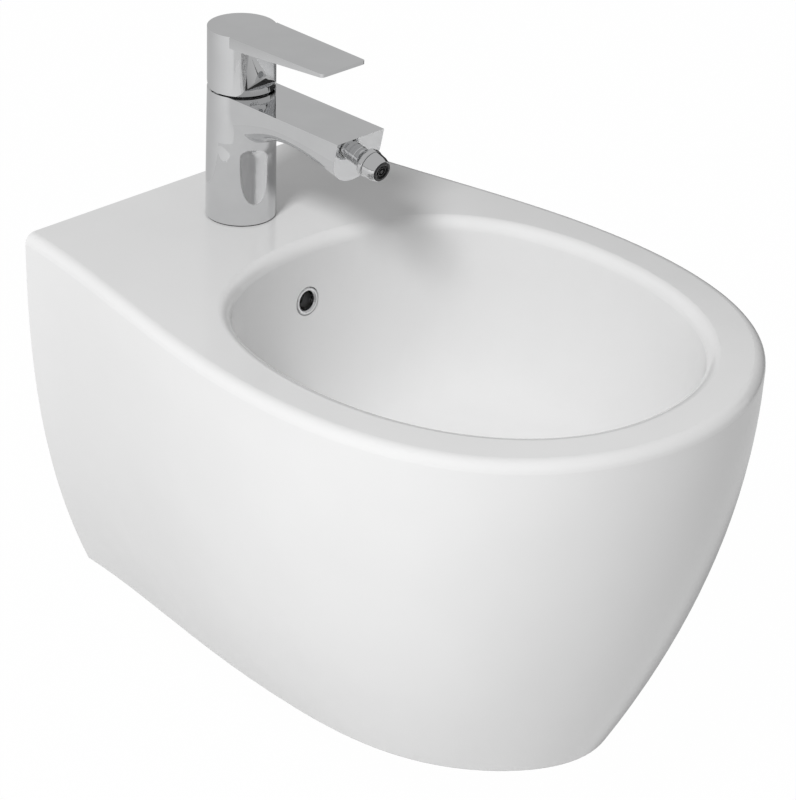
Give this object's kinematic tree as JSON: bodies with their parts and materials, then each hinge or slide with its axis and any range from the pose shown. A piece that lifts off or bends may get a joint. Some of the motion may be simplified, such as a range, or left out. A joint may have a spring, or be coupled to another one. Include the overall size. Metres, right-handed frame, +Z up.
{
  "type": "wall-hung bidet",
  "caption": "Wall-hung bidet with a D-shaped tapering ceramic bowl, deck-mounted single-lever mixer with a swivelling ball nozzle, overflow ring and push-button waste.",
  "frame": {"origin": "midway between the two wall studs, in the plane of the wall", "axes": "+Y into the wall, -Y to the front of the bowl, +Z up, +X to the right of a person facing the wall"},
  "size_m": [0.3711, 0.5179, 0.44],
  "materials": {
    "glazed_white": "glossy white glaze",
    "tap_chrome": "polished chrome plate",
    "waste_chrome": "polished chrome plate",
    "raw_brass": "machined",
    "zinc_steel": "zinc plated",
    "stainless": "ground",
    "seal_rubber": "matt black",
    "white_plastic": "moulded, natural white",
    "grey_plastic": "moulded grey",
    "black_plastic": "moulded black",
    "pale_plastic": "moulded, pale grey",
    "disc_ceramic": "lapped alumina"
  },
  "bodies": {
    "fixed": {"ceramic_body": "glazed_white", "overflow_ring": "tap_chrome", "fixing_sleeves": "white_plastic", "fixing_washers": "zinc_steel", "fixing_nuts": "zinc_steel", "waste_body": "waste_chrome", "waste_top_seal": "seal_rubber", "waste_bottom_seal": "seal_rubber", "waste_slip_ring": "white_plastic", "waste_backnut": "raw_brass", "plug_barrel": "raw_brass", "mixer_body": "tap_chrome", "base_gasket": "seal_rubber", "mixer_stud": "raw_brass", "horseshoe_gasket": "seal_rubber", "horseshoe_plate": "zinc_steel", "stud_nut": "raw_brass", "cartridge_housing": "white_plastic", "fixed_disc": "disc_ceramic", "cartridge_nut": "raw_brass", "cover_ring": "pale_plastic", "nozzle_adapter": "tap_chrome"},
    "lever_carrier": {"cartridge_turret": "grey_plastic", "pivot_pin": "stainless"},
    "lever": {"cartridge_stem": "stainless", "lever_handle": "tap_chrome", "grub_screw": "stainless", "index_button": "grey_plastic"},
    "disc_slider": {"moving_disc": "disc_ceramic", "disc_carrier": "grey_plastic"},
    "nozzle_liner": {"ball_liner": "white_plastic"},
    "nozzle": {"ball_nut": "tap_chrome", "nozzle_tip": "tap_chrome", "aerator_housing": "black_plastic", "aerator_insert": "pale_plastic"},
    "plug": {"plug_stem": "raw_brass", "waste_plug": "waste_chrome", "plug_ring": "seal_rubber"}
  },
  "joints": [
    {"name": "lever_turn", "type": "hinge", "parent": "fixed", "child": "lever_carrier", "pos_m": [0, -0.073, 0.148], "axis": [0, 0, 1], "range_deg": [-45, 45]},
    {"name": "lever_lift", "type": "hinge", "parent": "lever_carrier", "child": "lever", "pos_m": [0, -0.073, 0.184], "axis": [-1, 0, 0], "range_deg": [0, 16]},
    {"name": "disc_slide", "type": "slide", "parent": "lever_carrier", "child": "disc_slider", "axis": [0, -1, 0], "range_m": [0, 0.00414]},
    {"name": "nozzle_swing", "type": "hinge", "parent": "fixed", "child": "nozzle_liner", "pos_m": [0, -0.20553, 0.16333], "axis": [0, -0.2079, 0.9781], "range_deg": [-12, 12]},
    {"name": "nozzle_tilt", "type": "hinge", "parent": "nozzle_liner", "child": "nozzle", "pos_m": [0, -0.20553, 0.16333], "axis": [1, 0, 0], "range_deg": [-12, 12]},
    {"name": "plug_push", "type": "slide", "parent": "fixed", "child": "plug", "axis": [0, 0, 1], "range_m": [-0.008, 0]}
  ],
  "couplings": [
    {"joint": "disc_slide", "follows": "lever_lift", "m_per_rad": 0.0148}
  ]
}
